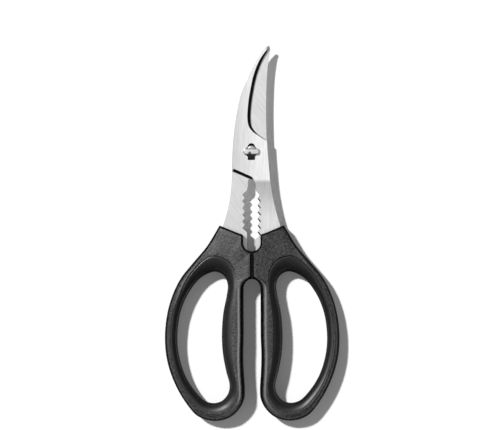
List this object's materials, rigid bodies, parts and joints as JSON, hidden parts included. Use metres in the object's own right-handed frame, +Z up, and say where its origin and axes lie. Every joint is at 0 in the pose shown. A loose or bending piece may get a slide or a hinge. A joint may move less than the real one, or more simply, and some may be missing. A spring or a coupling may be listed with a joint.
{
  "type": "poultry shears",
  "caption": "Take-apart poultry shears with curved blades, toothed jaws behind the pivot, a T-headed stud and closed finger loops with soft liners.",
  "frame": {"origin": "centre of the overall box at its base, the surface on which the closed shears lie", "axes": "+Y along the length towards the blade tips, +Z up out of the surface, +X across, towards the front half's handle"},
  "size_m": [0.0946, 0.203, 0.016],
  "materials": {
    "blade_steel": "fine brushed along the length",
    "stud_steel": "satin, turned and pressed",
    "handle_plastic": "finely grained, moulded",
    "liner_rubber": "smooth satin, overmoulded"
  },
  "bodies": {
    "rear_half": {"rear_blade": "blade_steel", "pivot_stud": "stud_steel", "rear_handle": "handle_plastic", "rear_loop_liner": "liner_rubber"},
    "front_half": {"front_blade": "blade_steel", "front_handle": "handle_plastic", "front_loop_liner": "liner_rubber"}
  },
  "joints": [
    {"name": "blade_pivot", "type": "hinge", "parent": "rear_half", "child": "front_half", "pos_m": [0, 0.0443, 0], "axis": [0, 0, 1], "range_deg": [0, 90]}
  ]
}
